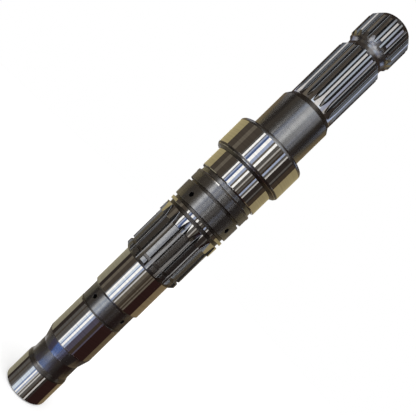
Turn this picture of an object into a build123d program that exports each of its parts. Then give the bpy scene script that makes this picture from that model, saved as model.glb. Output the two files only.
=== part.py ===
from build123d import *
from math import acos, cos, pi, radians, sin, sqrt, tan
import os

os.makedirs("parts", exist_ok=True)

# Power take-off shaft of a tractor, turned, splined and drilled from one steel bar.
# It stands on its pilot end. The origin is the middle of that flat end face, and +Z runs
# along the axis towards the output spline. All sizes are in millimetres.
# The lengths are given in order from the pilot end upwards.

# Pilot journal, and the neck behind it
pilot_d = 41.3
pilot_length = 26.6
pilot_end_chamfer = 1.2
pilot_shoulder_slope = 3.4
pilot_shoulder_round = 3.0
neck_d = 38.5
neck_length = 13.8

# Bearing seat, which starts with a cone
cone_length = 11.0
seat_d = 45.0
seat_length = 36.7

# Oil band, a little below the bearing seat, with an undercut where it starts
band_relief = 0.15
band_length = 16.8
band_undercut_depth = 0.3
band_undercut_width = 1.4
band_hole_d = 4.0
band_hole_height = 9.8

# Sleeve journal
sleeve_d = 48.5
sleeve_length = 37.0

# Clutch spline: 30 degree involute teeth, whose tips are turned down over most of their length
clutch_teeth = 16
clutch_module = 3.5
clutch_root_depth = 1.85
clutch_land_d = 59.2
clutch_tip_d = 56.4
clutch_tip_length = 42.4
clutch_land_length = 10.4
clutch_nose_chamfer = 3.1
clutch_cutter_r = 28.0
clutch_runout_margin = 0.5

# Empty snap ring groove across the turned-down teeth
snap_groove_d = 53.0
snap_groove_width = 2.6
snap_groove_height = 7.1

# Oil hub between its ring grooves
narrow_ring_d = 59.2
narrow_ring_width = 3.2
lower_groove_width = 2.9
middle_groove_width = 2.6
ring_groove_d = 54.7
hub_d = 59.6
hub_length = 16.1
hub_hole_d = 4.6
hub_hole_height = 7.4
upper_groove_d = 54.2
upper_groove_width = 2.4
hub_shoulder_length = 7.6
lip_d = 60.2
lip_width = 2.7
relief_groove_d = 56.3
relief_groove_width = 4.4

# Gear journal and thrust collar
gear_journal_d = 61.0
gear_journal_length = 19.8
gear_journal_chamfer = 0.6
collar_d = 70.5
collar_length = 28.9
collar_foot_d = 68.0
collar_foot_slope = 2.0
collar_shoulder_slope = 2.0
collar_top_round = 3.0

# Seal land
seal_d = 51.0
seal_length = 39.5
seal_foot_round = 1.0
seal_lead_slope = 5.0

# Output spline: 1 3/4 inch, 20 teeth, 30 degree involute, with its locking groove
output_teeth = 20
output_module = 25.4 / 12
output_root_depth = 1.35
output_d = 44.45
output_length = 100.5
output_cutter_r = 24.0
output_runout_margin = 1.4
output_clocking = 1.5
output_end_d = 34.0
output_end_slope = 6.6
lock_groove_d = 37.25
lock_groove_r = 10.0
lock_groove_from_end = 34.2

# Shared values
pressure_angle = radians(30)
spline_play = 0.06
edge_break = 0.3
cut_margin = 1.0

# Drillings: an oil gallery up the axis, its cross holes, and a centre hole in the output end
gallery_d = 8.0
gallery_past_holes = 6.0
drill_point_angle = 118.0
gallery_mouth_d = 14.0
cross_hole_count = 4
centre_hole_d = 8.0
centre_drill_d = 3.2
centre_drill_length = 4.0
centre_angle = 60.0

# Radii
pilot_r = pilot_d / 2
neck_r = neck_d / 2
seat_r = seat_d / 2
band_r = seat_r - band_relief
sleeve_r = sleeve_d / 2
tip_r = clutch_tip_d / 2
land_r = clutch_land_d / 2
hub_r = hub_d / 2
gear_journal_r = gear_journal_d / 2
collar_r = collar_d / 2
seal_r = seal_d / 2
output_r = output_d / 2
output_end_r = output_end_d / 2

# Heights of the sections above the pilot end face
z_pilot_top = pilot_length
z_neck = z_pilot_top + pilot_shoulder_slope
z_cone = z_neck + neck_length
z_seat = z_cone + cone_length
z_band = z_seat + seat_length
z_band_top = z_band + band_length
z_sleeve = z_band_top + sleeve_r - band_r
z_clutch = z_sleeve + sleeve_length
z_snap_groove = z_clutch + snap_groove_height
z_land = z_clutch + clutch_tip_length
z_lower_groove = z_land + clutch_land_length
z_narrow_ring = z_lower_groove + lower_groove_width
z_middle_groove = z_narrow_ring + narrow_ring_width
z_hub = z_middle_groove + middle_groove_width
z_upper_groove = z_hub + hub_length
z_hub_shoulder = z_upper_groove + upper_groove_width
z_lip = z_hub_shoulder + hub_shoulder_length
z_relief_groove = z_lip + lip_width
z_gear_journal = z_relief_groove + relief_groove_width
z_collar_foot = z_gear_journal + gear_journal_length
z_collar_shoulder = z_collar_foot + collar_foot_slope
z_collar = z_collar_shoulder + collar_shoulder_slope
z_collar_top = z_collar + collar_length
z_seal_top = z_collar_top + seal_length
z_output = z_seal_top + seal_lead_slope
z_end = z_output + output_length
z_band_holes = z_band + band_hole_height
z_hub_holes = z_hub + hub_hole_height

# Outline of the turned blank, as radius and height
outline = [
    (0, 0),
    (pilot_r - pilot_end_chamfer, 0),
    (pilot_r, pilot_end_chamfer),
    (pilot_r, z_pilot_top),
    (neck_r, z_neck),
    (neck_r, z_cone),
    (seat_r, z_seat),
    (seat_r, z_band),
    (band_r - band_undercut_depth, z_band),
    (band_r - band_undercut_depth, z_band + band_undercut_width),
    (band_r, z_band + band_undercut_width),
    (band_r, z_band_top),
    (sleeve_r, z_sleeve),
    (sleeve_r, z_clutch),
    (tip_r - clutch_nose_chamfer, z_clutch),
    (tip_r, z_clutch + clutch_nose_chamfer),
    (tip_r, z_snap_groove),
    (snap_groove_d / 2, z_snap_groove),
    (snap_groove_d / 2, z_snap_groove + snap_groove_width),
    (tip_r, z_snap_groove + snap_groove_width),
    (tip_r, z_land),
    (land_r, z_land),
    (land_r, z_lower_groove),
    (ring_groove_d / 2, z_lower_groove),
    (ring_groove_d / 2, z_narrow_ring),
    (narrow_ring_d / 2, z_narrow_ring),
    (narrow_ring_d / 2, z_middle_groove),
    (ring_groove_d / 2, z_middle_groove),
    (ring_groove_d / 2, z_hub),
    (hub_r, z_hub),
    (hub_r, z_upper_groove),
    (upper_groove_d / 2, z_upper_groove),
    (upper_groove_d / 2, z_hub_shoulder),
    (hub_r, z_hub_shoulder),
    (hub_r, z_lip),
    (lip_d / 2, z_lip),
    (lip_d / 2, z_relief_groove),
    (relief_groove_d / 2, z_relief_groove),
    (relief_groove_d / 2, z_gear_journal),
    (gear_journal_r, z_gear_journal),
    (gear_journal_r, z_collar_foot),
    (collar_foot_d / 2, z_collar_shoulder),
    (collar_r, z_collar),
    (collar_r, z_collar_top),
    (seal_r, z_collar_top),
    (seal_r, z_seal_top),
    (output_r, z_output),
    (output_r, z_end - output_end_slope),
    (output_end_r, z_end),
    (0, z_end),
]


def involute(angle):
    return tan(angle) - angle


def gap_point(teeth, module, radius, side):
    """The point at a radius on one flank of the tooth gap on +X. Side is 1 or -1."""
    pitch_r = teeth * module / 2
    base_r = pitch_r * cos(pressure_angle)
    thickness = pi * module / 2 - spline_play
    half_tooth = thickness / (2 * pitch_r) + involute(pressure_angle) - involute(acos(base_r / radius))
    half_gap = pi / teeth - half_tooth
    return (radius * cos(half_gap), side * radius * sin(half_gap))


def gap_cutter(teeth, module, root_depth, top_r, z_start, z_runout_end, cutter_r):
    """What a round cutter takes out between two teeth, on +X. The flanks are so nearly straight
    that they run straight from root to tip, and the gap runs out along the cutter's own curve."""
    root_r = teeth * module / 2 - root_depth
    outer_r = top_r + cut_margin
    depth = top_r - root_r
    z_full = z_runout_end - sqrt(cutter_r**2 - (cutter_r - depth) ** 2)
    turn = acos((cutter_r - depth - cut_margin) / cutter_r) * 180 / pi
    with BuildPart() as cutter:
        with BuildSketch(Plane.XY.offset(z_full)) as gap:
            with BuildLine():
                Polyline(
                    gap_point(teeth, module, outer_r, 1),
                    gap_point(teeth, module, root_r, 1),
                    gap_point(teeth, module, root_r, -1),
                    gap_point(teeth, module, outer_r, -1),
                    close=True,
                )
            make_face()
        extrude(amount=z_start - cut_margin - z_full)
        cutter_axis = Axis((root_r + cutter_r, 0, z_full), (0, 1, 0))
        revolve(gap.sketch, axis=cutter_axis, revolution_arc=turn)
    return cutter.part


def rings(solid, *corners):
    """The circular edges of a solid at the given corners of the outline."""
    found = []
    for radius, height in corners:
        for edge in solid.edges().filter_by(GeomType.CIRCLE):
            if abs(edge.radius - radius) < 0.01 and abs(edge.arc_center.Z - height) < 0.01:
                found.append(edge)
    return found


clutch_gap = gap_cutter(
    clutch_teeth,
    clutch_module,
    clutch_root_depth,
    land_r,
    z_clutch,
    z_lower_groove - clutch_runout_margin,
    clutch_cutter_r,
)

# The output spline's gaps run out downwards, so its cutter is made from the end face and turned over
output_gap = gap_cutter(
    output_teeth,
    output_module,
    output_root_depth,
    output_r,
    0,
    output_length - output_runout_margin,
    output_cutter_r,
)

with BuildPart() as shaft:
    # Turned blank
    with BuildSketch(Plane.XZ):
        with BuildLine():
            Polyline(*outline, close=True)
        make_face()
    revolve(axis=Axis.Z)

    # Rounded and broken edges
    fillet(rings(shaft, (pilot_r, z_pilot_top), (neck_r, z_neck)), pilot_shoulder_round)
    fillet(rings(shaft, (collar_r, z_collar_top)), collar_top_round)
    fillet(rings(shaft, (seal_r, z_collar_top)), seal_foot_round)
    chamfer(rings(shaft, (gear_journal_r, z_gear_journal)), gear_journal_chamfer)
    chamfer(
        rings(
            shaft,
            (land_r, z_land),
            (land_r, z_lower_groove),
            (narrow_ring_d / 2, z_narrow_ring),
            (narrow_ring_d / 2, z_middle_groove),
            (hub_r, z_hub),
            (hub_r, z_upper_groove),
            (hub_r, z_hub_shoulder),
            (lip_d / 2, z_relief_groove),
        ),
        edge_break,
    )

    # Locking groove round the output spline
    with BuildSketch(Plane.XZ):
        with Locations((lock_groove_d / 2 + lock_groove_r, z_end - lock_groove_from_end)):
            Circle(lock_groove_r)
    revolve(axis=Axis.Z, mode=Mode.SUBTRACT)

    # Teeth of both splines
    with PolarLocations(0, clutch_teeth, start_angle=180 / clutch_teeth):
        add(clutch_gap, mode=Mode.SUBTRACT)
    with Locations(Location((0, 0, z_end), (180, 0, 0))):
        with PolarLocations(0, output_teeth, start_angle=180 / output_teeth - output_clocking):
            add(output_gap, mode=Mode.SUBTRACT)

    # Oil gallery, drilled from the pilot end, with a countersunk mouth
    gallery_r = gallery_d / 2
    mouth_depth = (gallery_mouth_d - gallery_d) / 2 / tan(radians(centre_angle / 2))
    gallery_depth = z_hub_holes + gallery_past_holes
    point_length = gallery_r / tan(radians(drill_point_angle / 2))
    with BuildSketch(Plane.XZ):
        with BuildLine():
            Polyline(
                (0, 0),
                (gallery_mouth_d / 2, 0),
                (gallery_r, mouth_depth),
                (gallery_r, gallery_depth),
                (0, gallery_depth + point_length),
                close=True,
            )
        make_face()
    revolve(axis=Axis.Z, mode=Mode.SUBTRACT)

    # Cross holes from the surface into the gallery
    for height, diameter, surface_r in (
        (z_band_holes, band_hole_d, band_r),
        (z_hub_holes, hub_hole_d, hub_r),
    ):
        with PolarLocations(0, cross_hole_count):
            with Locations(Location((0, 0, height), (0, 90, 0))):
                Cylinder(
                    diameter / 2,
                    surface_r + cut_margin,
                    align=(Align.CENTER, Align.CENTER, Align.MIN),
                    mode=Mode.SUBTRACT,
                )

    # Centre hole in the output end
    centre_depth = (centre_hole_d - centre_drill_d) / 2 / tan(radians(centre_angle / 2))
    with BuildSketch(Plane.XZ):
        with BuildLine():
            Polyline(
                (0, z_end),
                (centre_hole_d / 2, z_end),
                (centre_drill_d / 2, z_end - centre_depth),
                (centre_drill_d / 2, z_end - centre_depth - centre_drill_length),
                (0, z_end - centre_depth - centre_drill_length),
                close=True,
            )
        make_face()
    revolve(axis=Axis.Z, mode=Mode.SUBTRACT)

shaft.part.label = "power_takeoff_shaft"
export_step(shaft.part, "parts/power_takeoff_shaft.step")
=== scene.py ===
from math import acos, cos, hypot, pi, radians, sin, sqrt, tan

import bmesh
import bpy
from mathutils import Matrix, Vector


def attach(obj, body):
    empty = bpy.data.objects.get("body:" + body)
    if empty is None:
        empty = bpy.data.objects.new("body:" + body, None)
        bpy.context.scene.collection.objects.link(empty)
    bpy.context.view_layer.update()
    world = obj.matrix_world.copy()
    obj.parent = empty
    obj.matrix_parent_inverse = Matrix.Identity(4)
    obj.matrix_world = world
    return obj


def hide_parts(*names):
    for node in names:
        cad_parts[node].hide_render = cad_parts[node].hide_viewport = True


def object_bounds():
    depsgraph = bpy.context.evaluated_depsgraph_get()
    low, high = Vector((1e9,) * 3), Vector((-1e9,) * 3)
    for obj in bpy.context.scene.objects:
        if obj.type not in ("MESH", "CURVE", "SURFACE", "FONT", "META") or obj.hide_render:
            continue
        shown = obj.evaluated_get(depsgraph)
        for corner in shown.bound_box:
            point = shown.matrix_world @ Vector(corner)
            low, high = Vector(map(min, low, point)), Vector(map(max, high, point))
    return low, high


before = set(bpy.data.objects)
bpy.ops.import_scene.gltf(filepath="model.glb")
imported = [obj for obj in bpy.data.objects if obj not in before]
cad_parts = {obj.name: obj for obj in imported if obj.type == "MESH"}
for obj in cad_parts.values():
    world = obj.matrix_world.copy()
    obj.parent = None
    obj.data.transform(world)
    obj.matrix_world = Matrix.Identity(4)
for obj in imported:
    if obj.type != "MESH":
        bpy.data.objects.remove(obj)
cad_low, cad_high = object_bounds()

# Metres in a millimetre
MM = 0.001

# Sizes in millimetres, in order from the pilot end upwards. The shaft stands on its pilot end.
PILOT_R = 20.65
PILOT_LENGTH = 26.6
PILOT_END_CHAMFER = 1.2
PILOT_SHOULDER_SLOPE = 3.4
PILOT_SHOULDER_ROUND = 3.0
NECK_R = 19.25
NECK_LENGTH = 13.8
CONE_LENGTH = 11.0
SEAT_R = 22.5
SEAT_LENGTH = 36.7
SEAT_EDGE_WIDTH = 0.5
BAND_R = 22.35
BAND_LENGTH = 16.8
BAND_UNDERCUT_R = 22.05
BAND_UNDERCUT_WIDTH = 1.4
BAND_HOLE_R = 2.0
BAND_HOLE_HEIGHT = 9.8
SLEEVE_R = 24.25
SLEEVE_LENGTH = 37.0
CLUTCH_TIP_R = 28.2
CLUTCH_TIP_LENGTH = 42.4
CLUTCH_LAND_R = 29.6
CLUTCH_LAND_LENGTH = 10.4
CLUTCH_NOSE_CHAMFER = 3.1
CLUTCH_RUNOUT_MARGIN = 0.5
SNAP_GROOVE_R = 26.5
SNAP_GROOVE_WIDTH = 2.6
SNAP_GROOVE_HEIGHT = 7.1
RING_GROOVE_R = 27.35
LOWER_GROOVE_WIDTH = 2.9
NARROW_RING_R = 29.6
NARROW_RING_WIDTH = 3.2
MIDDLE_GROOVE_WIDTH = 2.6
HUB_R = 29.8
HUB_LENGTH = 16.1
HUB_HOLE_R = 2.3
HUB_HOLE_HEIGHT = 7.4
UPPER_GROOVE_R = 27.1
UPPER_GROOVE_WIDTH = 2.4
HUB_SHOULDER_LENGTH = 7.6
LIP_R = 30.1
LIP_WIDTH = 2.7
LIP_POLISHED_WIDTH = 1.4
RELIEF_GROOVE_R = 28.15
RELIEF_GROOVE_WIDTH = 4.4
GEAR_JOURNAL_R = 30.5
GEAR_JOURNAL_LENGTH = 19.8
GEAR_JOURNAL_CHAMFER = 0.6
COLLAR_R = 35.25
COLLAR_LENGTH = 28.9
COLLAR_POLISHED_LENGTH = 25.0
COLLAR_FOOT_R = 34.0
COLLAR_FOOT_SLOPE = 2.0
COLLAR_FOOT_EDGE_WIDTH = 0.4
COLLAR_SHOULDER_SLOPE = 2.0
COLLAR_TOP_ROUND = 3.0
SEAL_R = 25.5
SEAL_LENGTH = 39.5
SEAL_FOOT_ROUND = 1.0
SEAL_LEAD_SLOPE = 5.0
OUTPUT_R = 22.225
OUTPUT_END_R = 17.0
OUTPUT_END_SLOPE = 6.6
OUTPUT_RUNOUT_MARGIN = 1.4
OUTPUT_CLOCKING = radians(1.5)
LOCK_GROOVE_R = 18.625
LOCK_GROOVE_ROUND = 10.0
LOCK_GROOVE_FROM_END = 34.2
GALLERY_R = 4.0
GALLERY_MOUTH_R = 7.0
GALLERY_PAST_HOLES = 6.0
CENTRE_HOLE_R = 4.0
CENTRE_DRILL_R = 1.6
CENTRE_DRILL_LENGTH = 4.0
CENTRE_HALF_ANGLE = radians(30)
DRILL_HALF_ANGLE = radians(59)

# Breaks and rounds of the corners, in millimetres
EDGE_BREAK = 0.3
SMALL_BREAK = 0.15
STEP_ROUND = 0.1
SMALL_ROUND = 0.4
EDGE_ROUND = 0.5
CORNER_ROUND = 0.6
SEAL_LEAD_ROUND = 0.8
CONE_FOOT_ROUND = 1.0

# The two splines, with their sizes in millimetres
CLUTCH_SPLINE = {"teeth": 16, "module": 3.5, "root_depth": 1.85, "cutter_r": 28.0, "root_round": 0.6}
OUTPUT_SPLINE = {"teeth": 20, "module": 25.4 / 12, "root_depth": 1.35, "cutter_r": 24.0, "root_round": 0.4}
PRESSURE_ANGLE = radians(30)
SPLINE_PLAY = 0.06
TOOTH_BREAK = 0.15
TOOTH_BREAK_SLOPE = tan(radians(60))
CUT_MARGIN = 0.3
FLANK_POINTS = 5
RUNOUT_STEPS = 14

# Cross holes of the oil band and the oil hub
CROSS_HOLES = 4
CROSS_HOLE_SIDES = 32
CROSS_HOLE_START = 2.5
CROSS_HOLE_BREAK = 0.25

# Heights of the sections above the pilot end face, in millimetres
END = cad_high.z / MM
NECK = PILOT_LENGTH + PILOT_SHOULDER_SLOPE
CONE = NECK + NECK_LENGTH
SEAT = CONE + CONE_LENGTH
BAND = SEAT + SEAT_LENGTH
BAND_TOP = BAND + BAND_LENGTH
SLEEVE = BAND_TOP + SLEEVE_R - BAND_R
CLUTCH = SLEEVE + SLEEVE_LENGTH
SNAP_GROOVE = CLUTCH + SNAP_GROOVE_HEIGHT
LAND = CLUTCH + CLUTCH_TIP_LENGTH
LOWER_GROOVE = LAND + CLUTCH_LAND_LENGTH
NARROW_RING = LOWER_GROOVE + LOWER_GROOVE_WIDTH
MIDDLE_GROOVE = NARROW_RING + NARROW_RING_WIDTH
HUB = MIDDLE_GROOVE + MIDDLE_GROOVE_WIDTH
UPPER_GROOVE = HUB + HUB_LENGTH
HUB_SHOULDER = UPPER_GROOVE + UPPER_GROOVE_WIDTH
LIP = HUB_SHOULDER + HUB_SHOULDER_LENGTH
RELIEF_GROOVE = LIP + LIP_WIDTH
GEAR_JOURNAL = RELIEF_GROOVE + RELIEF_GROOVE_WIDTH
COLLAR_FOOT = GEAR_JOURNAL + GEAR_JOURNAL_LENGTH
COLLAR_SHOULDER = COLLAR_FOOT + COLLAR_FOOT_SLOPE
COLLAR = COLLAR_SHOULDER + COLLAR_SHOULDER_SLOPE
COLLAR_TOP = COLLAR + COLLAR_LENGTH
SEAL_TOP = COLLAR_TOP + SEAL_LENGTH
OUTPUT = SEAL_TOP + SEAL_LEAD_SLOPE
BAND_HOLES = BAND + BAND_HOLE_HEIGHT
HUB_HOLES = HUB + HUB_HOLE_HEIGHT
LOCK_GROOVE = END - LOCK_GROOVE_FROM_END

# Fineness of the mesh. The guard points lie in millimetres, and the weld is in metres.
COLUMNS = 240
ROUND_STEP = radians(23)
LOCK_GROOVE_STEP = ROUND_STEP / 2
GUARD = 0.15
GUARDED_LENGTH = 2.0
WELD = 1e-6
SHARP_ANGLE = radians(24)


# Shader node groups and materials

def add_node(tree, kind, inputs=None, **settings):
    """Adds a node. Inputs gives a value, an output or a list of outputs for a socket's name or number."""
    node = tree.nodes.new(kind)
    for name, value in settings.items():
        setattr(node, name, value)
    for name, value in (inputs or {}).items():
        sources = value if isinstance(value, list) else [value]
        for source in sources:
            if isinstance(source, bpy.types.NodeSocket):
                tree.links.new(source, node.inputs[name])
            else:
                node.inputs[name].default_value = source
    return node


def node_group(name, kind, inputs, outputs):
    """An empty node group. Inputs and outputs give a socket type and perhaps a value for each name."""
    tree = bpy.data.node_groups.new(name, kind)
    for socket, (socket_type, *value) in inputs.items():
        made = tree.interface.new_socket(socket, in_out="INPUT", socket_type=socket_type)
        if value:
            made.default_value = value[0]
    for socket, socket_type in outputs.items():
        tree.interface.new_socket(socket, in_out="OUTPUT", socket_type=socket_type)
    return tree, tree.nodes.new("NodeGroupInput").outputs, tree.nodes.new("NodeGroupOutput")


def tool_marks_group():
    """Fine uneven lines left by a tool. Around and Along give how many there are in a metre each way."""
    inputs = {"Around": ("NodeSocketFloat", 40.0), "Along": ("NodeSocketFloat", 2500.0)}
    outputs = {"Height": "NodeSocketFloat", "Streak": "NodeSocketFloat"}
    tree, given, result = node_group("Tool marks", "ShaderNodeTree", inputs, outputs)
    place = add_node(tree, "ShaderNodeTexCoord").outputs["Object"]
    around, along = given["Around"], given["Along"]
    spread = add_node(tree, "ShaderNodeCombineXYZ", {0: around, 1: around, 2: along})
    fine = add_node(tree, "ShaderNodeVectorMath", {0: place, 1: spread.outputs[0]}, operation="MULTIPLY")
    broad = add_node(tree, "ShaderNodeVectorMath", {0: fine.outputs[0], "Scale": 0.17}, operation="SCALE")
    lines = add_node(tree, "ShaderNodeTexNoise", {"Vector": fine.outputs[0], "Scale": 1.0, "Detail": 2.0})
    bands = add_node(tree, "ShaderNodeTexNoise", {"Vector": broad.outputs[0], "Scale": 1.0, "Detail": 3.0})
    tree.links.new(lines.outputs["Fac"], result.inputs["Height"])
    tree.links.new(bands.outputs["Fac"], result.inputs["Streak"])
    return tree


def oil_stain_group():
    """Broad soft patches where a film of oil lies. Size is the number of patches in a metre."""
    inputs = {"Size": ("NodeSocketFloat", 60.0), "Cover": ("NodeSocketFloat", 0.5)}
    tree, given, result = node_group("Oil stain", "ShaderNodeTree", inputs, {"Stain": "NodeSocketFloat"})
    place = add_node(tree, "ShaderNodeTexCoord").outputs["Object"]
    patches = add_node(tree, "ShaderNodeTexNoise", {"Vector": place, "Scale": given["Size"], "Detail": 4.0})
    top = add_node(tree, "ShaderNodeMath", {0: 1.0, 1: given["Cover"]}, operation="SUBTRACT")
    spread = {"Value": patches.outputs["Fac"], "From Min": top.outputs[0], "From Max": 1.0}
    mask = add_node(tree, "ShaderNodeMapRange", spread, interpolation_type="SMOOTHSTEP")
    tree.links.new(mask.outputs["Result"], result.inputs["Stain"])
    return tree


TOOL_MARKS = tool_marks_group()
OIL_STAIN = oil_stain_group()

# How far the film of oil spreads, and the quarter turn that draws reflections out along the shaft
OIL_COVER = 0.4
ALONG_THE_SHAFT = 0.25


def steel(name, light, dark, rough, marks, mark_depth, stretch=0.0):
    """Bare steel. Light and dark are its colours, rough its lowest and highest roughness, marks the number of
    tool marks in a metre around and along, and mark_depth their depth in metres. Stretch is how far its
    reflections are drawn out along the shaft, from 0 to 1."""
    material = bpy.data.materials.new(name)
    material.use_nodes = True
    tree = material.node_tree
    shader = tree.nodes["Principled BSDF"]
    tool = add_node(tree, "ShaderNodeGroup", {"Around": marks[0], "Along": marks[1]}, node_tree=TOOL_MARKS)
    oil = add_node(tree, "ShaderNodeGroup", {"Cover": OIL_COVER}, node_tree=OIL_STAIN)
    streak = add_node(
        tree, "ShaderNodeMapRange", {"Value": tool.outputs["Streak"], "From Min": 0.35, "From Max": 0.65}
    )
    tinted = {0: streak.outputs[0], 6: (*dark, 1), 7: (*light, 1)}
    tint = add_node(tree, "ShaderNodeMix", tinted, data_type="RGBA")
    filmed = {0: oil.outputs[0], 6: tint.outputs[2], 7: (*dark, 1)}
    film = add_node(tree, "ShaderNodeMix", filmed, data_type="RGBA")
    gloss = add_node(
        tree, "ShaderNodeMapRange", {"Value": streak.outputs[0], "To Min": rough[1], "To Max": rough[0]}
    )
    bump = add_node(tree, "ShaderNodeBump", {"Height": tool.outputs["Height"], "Distance": mark_depth})
    tree.links.new(film.outputs[2], shader.inputs["Base Color"])
    tree.links.new(gloss.outputs[0], shader.inputs["Roughness"])
    tree.links.new(bump.outputs[0], shader.inputs["Normal"])
    shader.inputs["Metallic"].default_value = 1.0
    if stretch:
        shader.inputs["Anisotropic"].default_value = stretch
        shader.inputs["Anisotropic Rotation"].default_value = ALONG_THE_SHAFT
        tangent = add_node(tree, "ShaderNodeTangent", direction_type="RADIAL", axis="Z")
        tree.links.new(tangent.outputs[0], shader.inputs["Tangent"])
    return material


# Tool marks in a metre around and along, and their depths in metres
ROUND_MARKS = (25.0, 4000.0)
COARSE_ROUND_MARKS = (25.0, 1800.0)
LENGTHWISE_MARKS = (700.0, 40.0)
FINE_DEPTH = 1e-7
TURNED_DEPTH = 3e-7
DRILLED_DEPTH = 6e-6

# Each finish, in the order of the numbers that the faces carry
FINISHES = {
    "polished": steel(
        "polished_journal_steel", (0.54, 0.53, 0.51), (0.45, 0.44, 0.42), (0.03, 0.05),
        ROUND_MARKS, FINE_DEPTH, 0.5,
    ),
    "turned": steel(
        "satin_turned_steel", (0.285, 0.285, 0.285), (0.255, 0.255, 0.255), (0.23, 0.27),
        COARSE_ROUND_MARKS, TURNED_DEPTH, 0.5,
    ),
    # Rougher turned steel of the grooves, undercuts, shoulders and lead slope, whose dark colour is painted
    # shade
    "grooved": steel(
        "painted_shade_steel", (0.18, 0.17, 0.16), (0.12, 0.11, 0.10), (0.30, 0.40),
        COARSE_ROUND_MARKS, TURNED_DEPTH, 0.6,
    ),
    "coned": steel(
        "coned_steel", (0.34, 0.34, 0.36), (0.28, 0.28, 0.30), (0.16, 0.22),
        COARSE_ROUND_MARKS, TURNED_DEPTH, 0.5,
    ),
    # Milled steel of the tooth flanks and the output end's slope, whose dark colour is painted shade in the
    # tooth gaps
    "milled": steel(
        "painted_shade_milled_steel", (0.15, 0.15, 0.15), (0.10, 0.10, 0.10), (0.20, 0.28),
        LENGTHWISE_MARKS, FINE_DEPTH,
    ),
    "rooted": steel(
        "milled_tooth_root_steel", (0.33, 0.33, 0.33), (0.26, 0.26, 0.26), (0.10, 0.14),
        LENGTHWISE_MARKS, FINE_DEPTH,
    ),
    "tipped": steel(
        "turned_tooth_tip_steel", (0.60, 0.59, 0.58), (0.52, 0.51, 0.50), (0.06, 0.09),
        ROUND_MARKS, FINE_DEPTH, 0.5,
    ),
    "rolled": steel(
        "locking_groove_steel", (0.32, 0.32, 0.33), (0.28, 0.28, 0.29), (0.21, 0.25),
        ROUND_MARKS, FINE_DEPTH,
    ),
    # Rough drilled steel of the holes, gallery and centre hole, whose dark colour is painted shade
    "drilled": steel(
        "drilled_hole_steel_painted_shade", (0.20, 0.19, 0.18), (0.13, 0.12, 0.11), (0.4, 0.5),
        ROUND_MARKS, DRILLED_DEPTH,
    ),
}
FINISH_NUMBER = {name: number for number, name in enumerate(FINISHES)}


# Shapes in the plane

def rounded(line):
    """Finishes the corners of a line of points (a, b, corner, finish). A corner above 0 is the radius of a
    round and one below 0 the length of a chamfer. A finish is that of the stretch after the point."""
    made = [(*line[0][:2], line[0][3])]
    for before, (a, b, corner, finish), after in zip(line, line[1:], line[2:]):
        point = Vector((a, b))
        back = (Vector(before[:2]) - point).normalized()
        ahead = (Vector(after[:2]) - point).normalized()
        if corner > 0:
            half = back.angle(ahead) / 2
            centre = point + (back + ahead).normalized() * corner / sin(half)
            first = (point + back * corner / tan(half) - centre).normalized()
            last = (point + ahead * corner / tan(half) - centre).normalized()
            steps = max(2, round((pi - 2 * half) / ROUND_STEP))
            made += [(*(centre + corner * first.slerp(last, k / steps)), finish) for k in range(steps + 1)]
        elif corner < 0:
            made += [(*(point - corner * back), finish), (*(point - corner * ahead), finish)]
        else:
            made.append((a, b, finish))
    made.append((*line[-1][:2], line[-1][3]))
    return made


def guarded(line):
    """Adds a point near each end of every long stretch, which keeps the shading of long stretches even."""
    made = [line[0]]
    for start, stop in zip(line, line[1:]):
        length = hypot(stop[0] - start[0], stop[1] - start[1])
        if length > GUARDED_LENGTH:
            for share in (GUARD / length, 1 - GUARD / length):
                step = [a + (b - a) * share for a, b in zip(start[:2], stop[:2])]
                made.append((*step, start[2]))
        made.append(stop)
    return made


def lock_groove_line():
    """The round of the locking groove, from its lower edge to its upper one."""
    centre = LOCK_GROOVE_R + LOCK_GROOVE_ROUND
    half = acos((centre - OUTPUT_R) / LOCK_GROOVE_ROUND)
    steps = round(2 * half / LOCK_GROOVE_STEP)
    turns = [half * (2 * k / steps - 1) for k in range(steps + 1)]
    return [
        (centre - LOCK_GROOVE_ROUND * cos(turn), LOCK_GROOVE + LOCK_GROOVE_ROUND * sin(turn), 0, "rolled")
        for turn in turns
    ]


def square_groove(top_r, floor_r, start, width, finish):
    """A groove with its four corners, and the finish of what comes after it."""
    return [
        (top_r, start, -EDGE_BREAK, "grooved"),
        (floor_r, start, EDGE_BREAK, "grooved"),
        (floor_r, start + width, EDGE_BREAK, "grooved"),
        (top_r, start + width, -EDGE_BREAK, finish),
    ]


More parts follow.
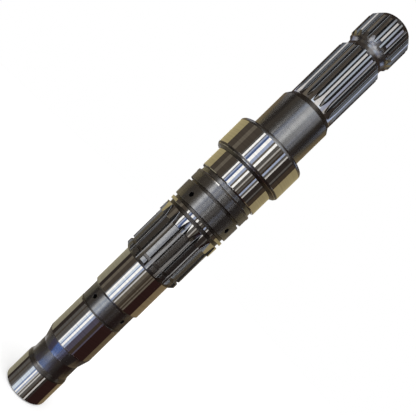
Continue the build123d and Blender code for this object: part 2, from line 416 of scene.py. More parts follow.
def shaft_outline():
    """The line that the lathe follows: out of the gallery, up the outside and into the centre hole."""
    gallery_top = HUB_HOLES + GALLERY_PAST_HOLES
    mouth_depth = (GALLERY_MOUTH_R - GALLERY_R) / tan(CENTRE_HALF_ANGLE)
    centre_depth = (CENTRE_HOLE_R - CENTRE_DRILL_R) / tan(CENTRE_HALF_ANGLE)
    centre_floor = END - centre_depth - CENTRE_DRILL_LENGTH
    shoulder_widening = (COLLAR_R - COLLAR_FOOT_R) / COLLAR_SHOULDER_SLOPE
    foot_edge_r = COLLAR_FOOT_R + COLLAR_FOOT_EDGE_WIDTH * shoulder_widening
    # The finishes of the grooves, undercuts, shoulders, lead slope, end slope and holes carry painted shade
    # in their darker colours.
    line = [
        (0, gallery_top + GALLERY_R / tan(DRILL_HALF_ANGLE), 0, "drilled"),
        (GALLERY_R, gallery_top, 0, "drilled"),
        (GALLERY_R, mouth_depth, EDGE_ROUND, "turned"),
        (GALLERY_MOUTH_R, 0, -EDGE_BREAK, "turned"),
        (PILOT_R - PILOT_END_CHAMFER, 0, SMALL_ROUND, "turned"),
        (PILOT_R, PILOT_END_CHAMFER, EDGE_ROUND, "polished"),
        (PILOT_R, PILOT_LENGTH, PILOT_SHOULDER_ROUND, "grooved"),
        (NECK_R, NECK, PILOT_SHOULDER_ROUND, "turned"),
        (NECK_R, CONE, CONE_FOOT_ROUND, "coned"),
        (SEAT_R, SEAT, CORNER_ROUND, "coned"),
        (SEAT_R, SEAT + SEAT_EDGE_WIDTH, 0, "polished"),
        (SEAT_R, BAND, -SMALL_BREAK, "grooved"),
        (BAND_UNDERCUT_R, BAND, SMALL_BREAK, "grooved"),
        (BAND_UNDERCUT_R, BAND + BAND_UNDERCUT_WIDTH, STEP_ROUND, "grooved"),
        (BAND_R, BAND + BAND_UNDERCUT_WIDTH, STEP_ROUND, "turned"),
        (BAND_R, BAND_TOP, SMALL_ROUND, "turned"),
        (SLEEVE_R, SLEEVE, SMALL_ROUND, "polished"),
        (SLEEVE_R, CLUTCH, SMALL_ROUND, "grooved"),
        (CLUTCH_TIP_R - CLUTCH_NOSE_CHAMFER, CLUTCH, SMALL_BREAK, "grooved"),
        (CLUTCH_TIP_R, CLUTCH + CLUTCH_NOSE_CHAMFER, SMALL_ROUND, "turned"),
        (CLUTCH_TIP_R, SNAP_GROOVE, -SMALL_BREAK, "grooved"),
        (SNAP_GROOVE_R, SNAP_GROOVE, SMALL_BREAK, "grooved"),
        (SNAP_GROOVE_R, SNAP_GROOVE + SNAP_GROOVE_WIDTH, SMALL_BREAK, "grooved"),
        (CLUTCH_TIP_R, SNAP_GROOVE + SNAP_GROOVE_WIDTH, -SMALL_BREAK, "turned"),
        (CLUTCH_TIP_R, LAND, SMALL_ROUND, "turned"),
        (CLUTCH_LAND_R, LAND, -EDGE_BREAK, "polished"),
    ]
    line += square_groove(NARROW_RING_R, RING_GROOVE_R, LOWER_GROOVE, LOWER_GROOVE_WIDTH, "polished")
    line += square_groove(NARROW_RING_R, RING_GROOVE_R, MIDDLE_GROOVE, MIDDLE_GROOVE_WIDTH, "turned")
    line += square_groove(HUB_R, UPPER_GROOVE_R, UPPER_GROOVE, UPPER_GROOVE_WIDTH, "turned")
    line += [
        (HUB_R, LIP, STEP_ROUND, "turned"),
        (LIP_R, LIP, STEP_ROUND, "turned"),
        (LIP_R, RELIEF_GROOVE - LIP_POLISHED_WIDTH, 0, "polished"),
        (LIP_R, RELIEF_GROOVE, -EDGE_BREAK, "grooved"),
        (RELIEF_GROOVE_R, RELIEF_GROOVE, CORNER_ROUND, "turned"),
        (RELIEF_GROOVE_R, GEAR_JOURNAL, CORNER_ROUND, "grooved"),
        (GEAR_JOURNAL_R, GEAR_JOURNAL, -GEAR_JOURNAL_CHAMFER, "polished"),
        (GEAR_JOURNAL_R, COLLAR_FOOT, CORNER_ROUND, "grooved"),
        (COLLAR_FOOT_R, COLLAR_SHOULDER, EDGE_ROUND, "polished"),
        (foot_edge_r, COLLAR_SHOULDER + COLLAR_FOOT_EDGE_WIDTH, 0, "grooved"),
        (COLLAR_R, COLLAR, EDGE_ROUND, "polished"),
        (COLLAR_R, COLLAR + COLLAR_POLISHED_LENGTH, 0, "turned"),
        (COLLAR_R, COLLAR_TOP, COLLAR_TOP_ROUND, "turned"),
        (SEAL_R, COLLAR_TOP, SEAL_FOOT_ROUND, "turned"),
        (SEAL_R, SEAL_TOP, SEAL_LEAD_ROUND, "grooved"),
        (OUTPUT_R, OUTPUT, SEAL_LEAD_ROUND, "tipped"),
    ]
    line += lock_groove_line()
    line[-1] = (*line[-1][:3], "tipped")
    line += [
        (OUTPUT_R, END - OUTPUT_END_SLOPE, EDGE_ROUND, "milled"),
        (OUTPUT_END_R, END, -EDGE_BREAK, "turned"),
        (CENTRE_HOLE_R, END, -EDGE_BREAK, "turned"),
        (CENTRE_DRILL_R, END - centre_depth, 0, "drilled"),
        (CENTRE_DRILL_R, centre_floor, 0, "drilled"),
        (0, centre_floor, 0, "drilled"),
    ]
    return guarded(rounded(line))


# Cutters

def involute(angle):
    """How far a tooth's flank has turned where it has this pressure angle."""
    return tan(angle) - angle


def gap_half_angle(spline, radius):
    """Half the angle of a tooth gap at a radius."""
    pitch_r = spline["teeth"] * spline["module"] / 2
    base_r = pitch_r * cos(PRESSURE_ANGLE)
    thickness = pi * spline["module"] / 2 - SPLINE_PLAY
    half_tooth = thickness / (2 * pitch_r) + involute(PRESSURE_ANGLE) - involute(acos(base_r / radius))
    return pi / spline["teeth"] - half_tooth


def root_radius(spline):
    """The radius at the bottom of the tooth gaps."""
    return spline["teeth"] * spline["module"] / 2 - spline["root_depth"]


def gap_outline(spline, top_r):
    """One tooth gap on +X for teeth of a tip radius: down one flank, over the root and up the other."""
    root_r = root_radius(spline)
    low_r, high_r = root_r + spline["root_round"], top_r - TOOTH_BREAK
    radii = [low_r + (high_r - low_r) * k / FLANK_POINTS for k in range(FLANK_POINTS + 1)]
    flank = [
        (r * cos(gap_half_angle(spline, r)), r * sin(gap_half_angle(spline, r)), 0) for r in reversed(radii)
    ]
    half = gap_half_angle(spline, root_r)
    flank.append((root_r * cos(half), root_r * sin(half), spline["root_round"]))
    widening = TOOTH_BREAK + CUT_MARGIN
    flank.insert(0, (flank[0][0] + widening, flank[0][1] + TOOTH_BREAK_SLOPE * widening, 0))
    other = [(x, -y, corner) for x, y, corner in reversed(flank)]
    return [(x, y) for x, y, finish in rounded([(*point, "milled") for point in flank + other])]


def root_finishes(spline, outline):
    """The finish of each stretch of a gap's outline. The cutter leaves the root smoother than the flanks, and
    the flanks are painted darker as shade.
    """
    top = root_radius(spline) + spline["root_round"] / 2
    stretches = zip(outline, outline[1:] + outline[:1])
    return ["rooted" if max(start[0], stop[0]) < top else "milled" for start, stop in stretches]


def loft(name, sections, finishes):
    """A closed mesh through sections of equally many points, given in millimetres. The faces between two
    sections take the finish of their stretch of the section, and the two end faces take the first one."""
    count = len(sections[0])
    corners = [Vector(point) * MM for section in sections for point in section]
    faces = [
        (s * count + i, s * count + (i + 1) % count, (s + 1) * count + (i + 1) % count, (s + 1) * count + i)
        for s in range(len(sections) - 1)
        for i in range(count)
    ]
    faces += [tuple(range(count)), tuple(range(len(corners) - count, len(corners)))]
    mesh = bpy.data.meshes.new(name)
    mesh.from_pydata(corners, [], faces)
    work = bmesh.new()
    work.from_mesh(mesh)
    bmesh.ops.recalc_face_normals(work, faces=work.faces)
    work.to_mesh(mesh)
    work.free()
    marks = mesh.attributes.new("finish", "INT", "FACE")
    numbers = [FINISH_NUMBER[finish] for finish in finishes]
    marks.data.foreach_set("value", numbers * (len(sections) - 1) + numbers[:1] * 2)
    made = bpy.data.objects.new(name, mesh)
    bpy.context.scene.collection.objects.link(made)
    return made


def gap_cutter(name, spline, top_r, straight, direction):
    """What a round cutter takes out between two teeth. Straight gives the tip radius and height of each
    section of its straight run, whose last one is where the cutter starts to lift out along its own curve."""
    sections = [[(x, y, height) for x, y in gap_outline(spline, radius)] for radius, height in straight]
    last = sections[-1]
    centre = root_radius(spline) + spline["cutter_r"]
    root_x = min(x for x, y, z in last)
    lift = acos((centre - top_r - CUT_MARGIN) / (centre - root_x))
    for k in range(1, RUNOUT_STEPS + 1):
        turn = lift * k / RUNOUT_STEPS
        across, along = cos(turn), direction * sin(turn)
        sections.append([(centre - (centre - x) * across, y, z + (centre - x) * along) for x, y, z in last])
    return loft(name, sections, root_finishes(spline, gap_outline(spline, straight[-1][0])))


def runout_length(spline, top_r):
    """How far the cutter's curve reaches along the shaft, from full depth to the surface."""
    depth = top_r - root_radius(spline)
    return sqrt(spline["cutter_r"] ** 2 - (spline["cutter_r"] - depth) ** 2)


def clutch_gap_cutter():
    """A gap of the clutch spline, cut from its nose. Its edges' break steps up where the full lands start."""
    full = LOWER_GROOVE - CLUTCH_RUNOUT_MARGIN - runout_length(CLUTCH_SPLINE, CLUTCH_LAND_R)
    straight = [
        (CLUTCH_TIP_R, CLUTCH - CUT_MARGIN),
        (CLUTCH_TIP_R, LAND - GUARD),
        (CLUTCH_LAND_R, LAND),
        (CLUTCH_LAND_R, full),
    ]
    return gap_cutter("clutch_gap_cutter", CLUTCH_SPLINE, CLUTCH_LAND_R, straight, 1)


def output_gap_cutter():
    """A gap of the output spline, cut from the end face."""
    full = OUTPUT + OUTPUT_RUNOUT_MARGIN + runout_length(OUTPUT_SPLINE, OUTPUT_R)
    straight = [(OUTPUT_R, END + CUT_MARGIN), (OUTPUT_R, full)]
    return gap_cutter("output_gap_cutter", OUTPUT_SPLINE, OUTPUT_R, straight, -1)


def cross_drill(name, radius, surface_r, height):
    """A drill on +X that opens a little at the surface."""
    reach = [
        (CROSS_HOLE_START, radius),
        (surface_r - CROSS_HOLE_BREAK, radius),
        (surface_r + CUT_MARGIN, radius + CROSS_HOLE_BREAK + CUT_MARGIN),
    ]
    turns = [2 * pi * k / CROSS_HOLE_SIDES for k in range(CROSS_HOLE_SIDES)]
    sections = [[(x, r * cos(turn), height + r * sin(turn)) for turn in turns] for x, r in reach]
    return loft(name, sections, ["drilled"] * CROSS_HOLE_SIDES)


# Geometry Nodes

def turned_surface_group():
    """Turns a line of points (radius, height) round the Z axis. Each face takes the finish of its stretch."""
    inputs = {"Outline": ("NodeSocketGeometry",), "Columns": ("NodeSocketInt", COLUMNS)}
    tree, given, result = node_group(
        "Turned surface", "GeometryNodeTree", inputs, {"Surface": "NodeSocketGeometry"}
    )
    rows = add_node(tree, "GeometryNodeAttributeDomainSize", {0: given["Outline"]}).outputs["Point Count"]
    seam = add_node(tree, "FunctionNodeIntegerMath", {0: given["Columns"], 1: 1}, operation="ADD").outputs[0]
    grid = add_node(tree, "GeometryNodeMeshGrid", {"Vertices X": seam, "Vertices Y": rows}).outputs["Mesh"]
    index = add_node(tree, "GeometryNodeInputIndex").outputs[0]
    row = add_node(tree, "FunctionNodeIntegerMath", {0: index, 1: rows}, operation="MODULO").outputs[0]
    column = add_node(
        tree, "FunctionNodeIntegerMath", {0: index, 1: rows}, operation="DIVIDE_FLOOR"
    ).outputs[0]
    place = add_node(tree, "GeometryNodeInputPosition").outputs[0]
    at_row = add_node(
        tree, "GeometryNodeSampleIndex", {0: given["Outline"], 1: place, 2: row}, data_type="FLOAT_VECTOR"
    )
    parts = add_node(tree, "ShaderNodeSeparateXYZ", {0: at_row.outputs[0]}).outputs
    share = add_node(tree, "ShaderNodeMath", {0: column, 1: given["Columns"]}, operation="DIVIDE").outputs[0]
    turn = add_node(tree, "ShaderNodeMath", {0: share, 1: 2 * pi}, operation="MULTIPLY").outputs[0]
    cosine = add_node(tree, "ShaderNodeMath", {0: turn}, operation="COSINE").outputs[0]
    sine = add_node(tree, "ShaderNodeMath", {0: turn}, operation="SINE").outputs[0]
    x = add_node(tree, "ShaderNodeMath", {0: parts[0], 1: cosine}, operation="MULTIPLY").outputs[0]
    y = add_node(tree, "ShaderNodeMath", {0: parts[0], 1: sine}, operation="MULTIPLY").outputs[0]
    around = add_node(tree, "ShaderNodeCombineXYZ", {0: x, 1: y, 2: parts[1]}).outputs[0]
    placed = add_node(tree, "GeometryNodeSetPosition", {"Geometry": grid, "Position": around}).outputs[0]
    stretches = add_node(tree, "FunctionNodeIntegerMath", {0: rows, 1: 1}, operation="SUBTRACT").outputs[0]
    stretch = add_node(
        tree, "FunctionNodeIntegerMath", {0: index, 1: stretches}, operation="MODULO"
    ).outputs[0]
    finish = add_node(tree, "GeometryNodeInputNamedAttribute", {"Name": "finish"}, data_type="INT").outputs[0]
    of_stretch = add_node(
        tree, "GeometryNodeSampleIndex", {0: given["Outline"], 1: finish, 2: stretch}, data_type="INT"
    )
    stored = add_node(
        tree,
        "GeometryNodeStoreNamedAttribute",
        {"Geometry": placed, "Name": "finish", "Value": of_stretch.outputs[0]},
        data_type="INT",
        domain="FACE",
    )
    closed = add_node(tree, "GeometryNodeMergeByDistance", {"Geometry": stored.outputs[0], "Distance": WELD})
    tree.links.new(closed.outputs[0], result.inputs["Surface"])
    return tree


def repeat_round_group():
    """Repeats a cutter evenly round the Z axis."""
    inputs = {
        "Cutter": ("NodeSocketObject",),
        "Count": ("NodeSocketInt", 4),
        "First angle": ("NodeSocketFloat", 0.0),
    }
    tree, given, result = node_group(
        "Repeat round the axis", "GeometryNodeTree", inputs, {"Cutters": "NodeSocketGeometry"}
    )
    shape = add_node(tree, "GeometryNodeObjectInfo", {"Object": given["Cutter"]}).outputs["Geometry"]
    points = add_node(tree, "GeometryNodePoints", {"Count": given["Count"]}).outputs[0]
    index = add_node(tree, "GeometryNodeInputIndex").outputs[0]
    share = add_node(tree, "ShaderNodeMath", {0: index, 1: given["Count"]}, operation="DIVIDE").outputs[0]
    turn = add_node(
        tree, "ShaderNodeMath", {0: share, 1: 2 * pi, 2: given["First angle"]}, operation="MULTIPLY_ADD"
    ).outputs[0]
    rotation = add_node(tree, "ShaderNodeCombineXYZ", {2: turn}).outputs[0]
    copies = add_node(
        tree, "GeometryNodeInstanceOnPoints", {"Points": points, "Instance": shape, "Rotation": rotation}
    )
    real = add_node(tree, "GeometryNodeRealizeInstances", {0: copies.outputs[0]})
    tree.links.new(real.outputs[0], result.inputs["Cutters"])
    return tree


def shaft_tree(cutters):
    """Turns the blank, cuts it and gives each face the material of its finish. Cutters are names."""
    inputs = {"Outline": ("NodeSocketGeometry",), "Columns": ("NodeSocketInt", COLUMNS)}
    for name in cutters:
        inputs[name] = ("NodeSocketObject",)
        inputs[name + " count"] = ("NodeSocketInt", 4)
        inputs[name + " first angle"] = ("NodeSocketFloat", 0.0)
    tree, given, result = node_group(
        "Power take-off shaft", "GeometryNodeTree", inputs, {"Shaft": "NodeSocketGeometry"}
    )
    turned = add_node(tree, "GeometryNodeGroup", node_tree=turned_surface_group())
    tree.links.new(given["Outline"], turned.inputs["Outline"])
    tree.links.new(given["Columns"], turned.inputs["Columns"])
    repeat_round = repeat_round_group()
    repeated = []
    for name in cutters:
        ring = add_node(tree, "GeometryNodeGroup", node_tree=repeat_round)
        tree.links.new(given[name], ring.inputs["Cutter"])
        tree.links.new(given[name + " count"], ring.inputs["Count"])
        tree.links.new(given[name + " first angle"], ring.inputs["First angle"])
        repeated.append(ring.outputs[0])
    cut = add_node(
        tree,
        "GeometryNodeMeshBoolean",
        {"Mesh 1": turned.outputs[0], "Mesh 2": repeated},
        operation="DIFFERENCE",
        solver="MANIFOLD",
    )
    made = add_node(tree, "GeometryNodeRealizeInstances", {0: cut.outputs[0]}).outputs[0]
    finish = add_node(tree, "GeometryNodeInputNamedAttribute", {"Name": "finish"}, data_type="INT").outputs[0]
    for number, material in enumerate(FINISHES.values()):
        chosen = add_node(
            tree, "FunctionNodeCompare", {2: finish, 3: number}, data_type="INT", operation="EQUAL"
        ).outputs[0]
        made = add_node(
            tree, "GeometryNodeSetMaterial", {"Geometry": made, "Selection": chosen, "Material": material}
        ).outputs[0]
    tree.links.new(made, result.inputs["Shaft"])
    return tree


def outline_object():
    """The lathe's line as loose points that carry their finish."""
    line = shaft_outline()
    mesh = bpy.data.meshes.new("shaft_outline")
    mesh.from_pydata([(r * MM, height * MM, 0) for r, height, finish in line], [], [])
    marks = mesh.attributes.new("finish", "INT", "POINT")
    marks.data.foreach_set("value", [FINISH_NUMBER[finish] for r, height, finish in line])
    made = bpy.data.objects.new("shaft", mesh)
    bpy.context.scene.collection.objects.link(made)
    return made


def power_takeoff_shaft():
    """The whole shaft as one mesh."""
    cutters = {
        "Clutch gap": (clutch_gap_cutter(), CLUTCH_SPLINE["teeth"], pi / CLUTCH_SPLINE["teeth"]),
        "Output gap": (
            output_gap_cutter(),
            OUTPUT_SPLINE["teeth"],
            pi / OUTPUT_SPLINE["teeth"] + OUTPUT_CLOCKING,
        ),
        "Band hole": (cross_drill("band_drill", BAND_HOLE_R, BAND_R, BAND_HOLES), CROSS_HOLES, 0.0),
        "Hub hole": (cross_drill("hub_drill", HUB_HOLE_R, HUB_R, HUB_HOLES), CROSS_HOLES, 0.0),
    }
    shaft = outline_object()
    tree = shaft_tree(list(cutters))
    lathe = shaft.modifiers.new("lathe", "NODES")
    lathe.node_group = tree
    values = {"Columns": COLUMNS}
    for name, (cutter, count, first_angle) in cutters.items():
        values.update({name: cutter, name + " count": count, name + " first angle": first_angle})
    for item in tree.interface.items_tree:
        if item.item_type == "SOCKET" and item.name in values:
            lathe[item.identifier] = values[item.name]
    finished = shaft.evaluated_get(bpy.context.evaluated_depsgraph_get())
    shaft.data, mesh = bpy.data.meshes.new_from_object(finished), shaft.data
    shaft.modifiers.remove(lathe)
    bpy.data.meshes.remove(mesh)
    for cutter, count, first_angle in cutters.values():
        bpy.data.meshes.remove(cutter.data)
    shaft.data.shade_smooth()
    shaft.data.set_sharp_from_angle(angle=SHARP_ANGLE)
    return shaft


shaft = power_takeoff_shaft()
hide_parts("power_takeoff_shaft")
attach(shaft, "root")


# Camera. It looks level at the standing shaft, and is rolled because the photograph shows the shaft leaning.
# Its places are in metres, and its lens and sensor in millimetres.
CAMERA_AZIMUTH = radians(36.8)
CAMERA_DISTANCE = 0.390
CAMERA_HEIGHT = 0.2016
PICTURE_MIDDLE_HEIGHT = 0.21905
CAMERA_SIDE_STEP = 0.00045
SHAFT_SLOPE = radians(44.24)
LENS = 39.25
SENSOR = 36.0


def photo_camera():
    """The rolled camera. Its picture is shifted up the shaft to the middle of the photograph."""
    camera = bpy.data.objects.new("photo_camera", bpy.data.cameras.new("photo_camera"))
    bpy.context.scene.collection.objects.link(camera)
    camera.data.lens = LENS
    camera.data.sensor_width = SENSOR
    shift = (PICTURE_MIDDLE_HEIGHT - CAMERA_HEIGHT) / CAMERA_DISTANCE * LENS / SENSOR
    camera.data.shift_x = shift * cos(SHAFT_SLOPE)
    camera.data.shift_y = shift * sin(SHAFT_SLOPE)
    back = Vector((cos(CAMERA_AZIMUTH), sin(CAMERA_AZIMUTH), 0))
    along = Vector((0, 0, 1))
    across = along.cross(back)
    right = along * cos(SHAFT_SLOPE) + across * sin(SHAFT_SLOPE)
    up = along * sin(SHAFT_SLOPE) - across * cos(SHAFT_SLOPE)
    place = back * CAMERA_DISTANCE + along * CAMERA_HEIGHT - across * CAMERA_SIDE_STEP
    camera.matrix_world = Matrix.Translation(place) @ Matrix((right, up, back)).transposed().to_4x4()
    return camera


bpy.context.scene.camera = photo_camera()


# Floor, lights and the cards that the polished steel mirrors

def glow(name, colour):
    """A material that only glows."""
    material = bpy.data.materials.new(name)
    material.use_nodes = True
    tree = material.node_tree
    tree.nodes.remove(tree.nodes["Principled BSDF"])
    light = add_node(tree, "ShaderNodeEmission", {"Color": (*colour, 1)})
    tree.links.new(light.outputs[0], tree.nodes["Material Output"].inputs["Surface"])
    return material


# Colours of the cards. The bluish ones and those above 1 stand for windows and lamps.
CARD_COLOURS = {
    "red_black": (0.040, 0.018, 0.016),
    "black": (0.048, 0.038, 0.034),
    "dark_brown": (0.080, 0.058, 0.042),
    "brown": (0.108, 0.088, 0.070),
    "grey": (0.165, 0.155, 0.145),
    "violet": (0.135, 0.12, 0.175),
    "taupe": (0.22, 0.19, 0.15),
    "slate": (0.33, 0.34, 0.38),
    "umber": (0.20, 0.15, 0.09),
    "sand": (0.31, 0.23, 0.13),
    "stone": (0.43, 0.40, 0.29),
    "khaki": (0.48, 0.40, 0.22),
    "beige": (0.59, 0.50, 0.27),
    "clay": (0.70, 0.67, 0.64),
    "cream": (0.98, 0.96, 0.95),
    "deep_blue": (0.14, 0.21, 0.45),
    "soft_blue": (0.42, 0.55, 0.88),
    "pale_blue": (0.62, 0.72, 1.00),
    "sky_blue": (0.18, 0.32, 0.80),
    "dusk_blue": (0.25, 0.28, 0.46),
    "mist": (0.50, 0.53, 0.68),
    "cool_white": (1.15, 1.30, 1.50),
    "white": (1.85, 1.85, 1.85),
}

# Height of the flat cards and distance of the standing ones, in metres, and the step along a card, in degrees
MAT_HEIGHT = 0.0005
CARD_REACH = 0.45
CARD_STEP = 6.0

# Past this azimuth on each side the cards start further round the shaft, so that they meet behind it
BEHIND_AZIMUTH = 120
BEHIND_TURN = 1.5

# What the polished zones mirror, in order from behind: a colour, and the azimuth where its card ends, in
# degrees from the camera's own
POLISHED_CARDS = [
    ("brown", -165), ("white", -158), ("beige", -102.5), ("brown", -80), ("taupe", -67), ("brown", -45),
    ("grey", -40.2), ("white", -34.4), ("slate", -31), ("pale_blue", -27), ("deep_blue", -21.2),
    ("white", -12.7), ("pale_blue", -4.3), ("taupe", 1), ("white", 7.8), ("grey", 17.2), ("clay", 21.5),
    ("brown", 26), ("grey", 30.5), ("dark_brown", 36), ("pale_blue", 41.5), ("grey", 48), ("cream", 52.5),
    ("black", 69.5), ("grey", 75), ("black", 80), ("dark_brown", 96), ("khaki", 170), ("white", 180),
]

# Tiers of cards round the shaft. Each gives its profile, as distances from the shaft and heights in metres,
# and its cards, also in order from behind.
CARD_TIERS = {
    "near_mat": (((0.0, MAT_HEIGHT), (0.06, MAT_HEIGHT)), [
        ("brown", -165), ("stone", -107.5), ("black", -92), ("grey", -74), ("brown", -66), ("grey", -50),
        ("slate", -43.5), ("cool_white", -27.5), ("soft_blue", -19.8), ("white", -13), ("pale_blue", -6.5),
        ("cream", -1), ("grey", 4.2), ("cream", 10.5), ("grey", 24), ("dark_brown", 32.5), ("cream", 39.5),
        ("black", 52), ("red_black", 117), ("sand", 170), ("white", 180),
    ]),
    "cone": (((0.015, 0.020), (0.034, 0.020)), [
        ("clay", -126), ("taupe", -108), ("grey", -80), ("violet", -45), ("sky_blue", -5), ("dusk_blue", 16),
        ("violet", 30), ("black", 95), ("umber", 160), ("clay", 180),
    ]),
    "neck_mat": (((0.06, MAT_HEIGHT), (0.14, MAT_HEIGHT)), [
        ("brown", -165), ("taupe", -118), ("brown", -63), ("grey", -52), ("taupe", -42), ("slate", -28),
        ("mist", -7), ("taupe", 1), ("grey", 9), ("dark_brown", 40), ("black", 55), ("red_black", 118),
        ("brown", 180),
    ]),
    "far_mat": (((0.14, MAT_HEIGHT), (0.306, MAT_HEIGHT)), [
        ("brown", -165), ("stone", -106), ("black", -84.5), ("grey", -70), ("brown", -63), ("grey", -45.5),
        ("slate", -41.5), ("white", -35.3), ("cool_white", -27.5), ("soft_blue", -22), ("white", -12.5),
        ("pale_blue", -1.5), ("violet", 22), ("dark_brown", 38), ("violet", 45), ("red_black", 108),
        ("umber", 170), ("white", 180),
    ]),
    "band_mat": (((0.306, MAT_HEIGHT), (0.43, MAT_HEIGHT)), [
        ("brown", -165), ("taupe", -126), ("black", -78), ("brown", -62), ("grey", -54), ("slate", -46),
        ("clay", -38), ("cream", -27), ("cool_white", -11), ("taupe", -4), ("black", 155), ("brown", 180),
    ]),
    "low": (((0.43, MAT_HEIGHT), (CARD_REACH, MAT_HEIGHT), (CARD_REACH, 0.09)), [
        ("brown", -165), ("stone", -102), ("black", -83.5), ("taupe", -70), ("brown", -48), ("slate", -43),
        ("white", -34.5), ("cool_white", -26.5), ("soft_blue", -22.2), ("white", -12.3), ("pale_blue", -4),
        ("grey", 2.8), ("cream", 8.6), ("taupe", 22.5), ("brown", 30), ("dark_brown", 36.5), ("taupe", 42),
        ("dark_brown", 48), ("taupe", 55), ("red_black", 100), ("sand", 170), ("white", 180),
    ]),
    "tip": (((CARD_REACH, 0.09), (CARD_REACH, 0.175)), [
        ("brown", -165), ("taupe", -116), ("brown", -100), ("slate", -88), ("brown", -62), ("taupe", -52),
        ("clay", -41), ("white", -26), ("slate", -14), ("cream", -3), ("dark_brown", 33), ("clay", 43),
        ("black", 85), ("cream", 99), ("brown", 118), ("taupe", 165), ("brown", 180),
    ]),
    "land": (((CARD_REACH, 0.175), (CARD_REACH, 0.212)), POLISHED_CARDS),
    "hub": (((CARD_REACH, 0.212), (CARD_REACH, 0.285)), [
        ("brown", -165), ("taupe", -116), ("brown", -62), ("taupe", -50), ("clay", -42), ("white", -27.5),
        ("slate", -18), ("grey", 8), ("brown", 26), ("black", 106), ("brown", 118), ("taupe", 165),
        ("brown", 180),
    ]),
    "collar": (((CARD_REACH, 0.285), (CARD_REACH, 0.405)), POLISHED_CARDS),
    "seal": (((CARD_REACH, 0.405), (CARD_REACH, 0.503)), [
        ("brown", -165), ("sand", -120), ("brown", -106), ("black", -74), ("brown", -52), ("grey", -42),
        ("taupe", -30), ("slate", -24), ("mist", -16), ("clay", -7), ("white", 15), ("clay", 24),
        ("cream", 40), ("slate", 56), ("grey", 64), ("dark_brown", 76), ("black", 98), ("brown", 116),
        ("sand", 165), ("white", 180),
    ]),
    "spline": (((CARD_REACH, 0.503), (CARD_REACH, 0.715)), [
        ("dark_brown", -140), ("mist", -120), ("cream", -100), ("black", -78), ("taupe", -58), ("grey", -44),
        ("brown", -27), ("cool_white", -10), ("cream", 12), ("cool_white", 28), ("mist", 44), ("clay", 58),
        ("black", 95), ("pale_blue", 114), ("taupe", 135), ("dark_brown", 180),
    ]),
    "roof": (((CARD_REACH, 0.715), (CARD_REACH, 1.0), (0.10, 1.0)), [
        ("dark_brown", -100), ("brown", -42), ("taupe", -16), ("clay", 30), ("taupe", 46),
        ("dark_brown", 180),
    ]),
}


def card_edge(azimuth):
    """The point on the pilot journal where rays that are mirrored towards an azimuth leave, and their way."""
    past = max(0.0, abs(azimuth) - BEHIND_AZIMUTH) * (1 if azimuth > 0 else -1)
    start = CAMERA_AZIMUTH + radians(azimuth / 2 + BEHIND_TURN * past)
    towards = CAMERA_AZIMUTH + radians(azimuth)
    return Vector((cos(start), sin(start), 0)) * PILOT_R * MM, Vector((cos(towards), sin(towards), 0))


def card(name, first, last, profile, material):
    """A strip of card between two azimuths that follows a profile. Only mirrored rays see it."""
    steps = max(1, round((last - first) / CARD_STEP))
    corners = []
    for k in range(steps + 1):
        start, towards = card_edge(first + (last - first) * k / steps)
        corners += [start + towards * reach + Vector((0, 0, height)) for reach, height in profile]
    count = len(profile)
    faces = [
        (c * count + r, c * count + r + 1, (c + 1) * count + r + 1, (c + 1) * count + r)
        for c in range(steps)
        for r in range(count - 1)
    ]
    mesh = bpy.data.meshes.new(name)
    mesh.from_pydata(corners, [], faces)
    mesh.materials.append(material)
    made = bpy.data.objects.new(name, mesh)
    bpy.context.scene.collection.objects.link(made)
    made.visible_camera = False
    made.visible_diffuse = False
    made.visible_transmission = False
    made.visible_volume_scatter = False
    made.visible_shadow = False


card_glows = {name: glow(name, colour) for name, colour in CARD_COLOURS.items()}
for tier, (profile, tier_cards) in CARD_TIERS.items():
    first = -180
    for number, (colour, last) in enumerate(tier_cards):
        card(f"{tier}_card_{number}", first, last, profile, card_glows[colour])
        first = last

# Floor, room and lamp, with their lengths in metres
FLOOR_SIZE = 6.0
FLOOR_DROP = 0.0001
FLOOR_COLOUR = (0.9, 0.9, 0.9)
FLOOR_GLOW = 0.27
FLOOR_ROUGHNESS = 0.9
ROOM_LIGHT = 0.75
LAMP_STRENGTH = 0.9
LAMP_SPREAD = radians(50)
LAMP_TILT = radians(25)
LAMP_AZIMUTH = radians(150)


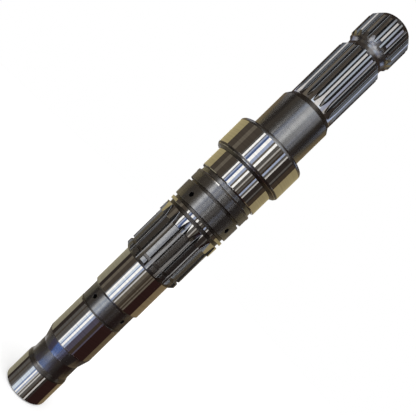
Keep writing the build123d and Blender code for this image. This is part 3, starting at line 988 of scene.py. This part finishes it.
def seen_directly(tree):
    """1 for rays from the camera and for rays that a mirror or glass passes on, otherwise 0."""
    path = add_node(tree, "ShaderNodeLightPath").outputs
    either = add_node(
        tree, "ShaderNodeMath", {0: path["Is Camera Ray"], 1: path["Is Glossy Ray"]}, operation="MAXIMUM"
    )
    return add_node(
        tree, "ShaderNodeMath", {0: either.outputs[0], 1: path["Is Transmission Ray"]}, operation="MAXIMUM"
    ).outputs[0]


def pale_floor():
    """The plain floor that the shaft stands on. It shows white and keeps the shaft's shadow."""
    half = FLOOR_SIZE / 2
    corners = [(-half, -half), (half, -half), (half, half), (-half, half)]
    mesh = bpy.data.meshes.new("floor")
    mesh.from_pydata([(x, y, -FLOOR_DROP) for x, y in corners], [], [(0, 1, 2, 3)])
    material = bpy.data.materials.new("pale_floor")
    material.use_nodes = True
    tree = material.node_tree
    shader = tree.nodes["Principled BSDF"]
    shader.inputs["Base Color"].default_value = (*FLOOR_COLOUR, 1)
    shader.inputs["Roughness"].default_value = FLOOR_ROUGHNESS
    shader.inputs["Specular IOR Level"].default_value = 0.0
    shader.inputs["Emission Color"].default_value = (1, 1, 1, 1)
    shown = add_node(tree, "ShaderNodeMath", {0: seen_directly(tree), 1: FLOOR_GLOW}, operation="MULTIPLY")
    tree.links.new(shown.outputs[0], shader.inputs["Emission Strength"])
    mesh.materials.append(material)
    made = bpy.data.objects.new("floor", mesh)
    bpy.context.scene.collection.objects.link(made)


def white_room():
    """A white room that lights the scene a little less than it shows."""
    world = bpy.data.worlds.new("white_room")
    world.use_nodes = True
    bpy.context.scene.world = world
    tree = world.node_tree
    strength = add_node(
        tree, "ShaderNodeMapRange", {"Value": seen_directly(tree), "To Min": ROOM_LIGHT, "To Max": 1.0}
    )
    background = tree.nodes["Background"]
    background.inputs["Color"].default_value = (1, 1, 1, 1)
    tree.links.new(strength.outputs[0], background.inputs["Strength"])


def soft_lamp():
    """A broad soft lamp from above, which the steel doesn't mirror."""
    lamp = bpy.data.lights.new("soft_lamp", "SUN")
    lamp.energy = LAMP_STRENGTH
    lamp.angle = LAMP_SPREAD
    made = bpy.data.objects.new("soft_lamp", lamp)
    made.rotation_euler = (LAMP_TILT, 0, LAMP_AZIMUTH)
    made.visible_glossy = False
    bpy.context.scene.collection.objects.link(made)


pale_floor()
white_room()
soft_lamp()
bpy.context.scene.view_settings.view_transform = "Standard"
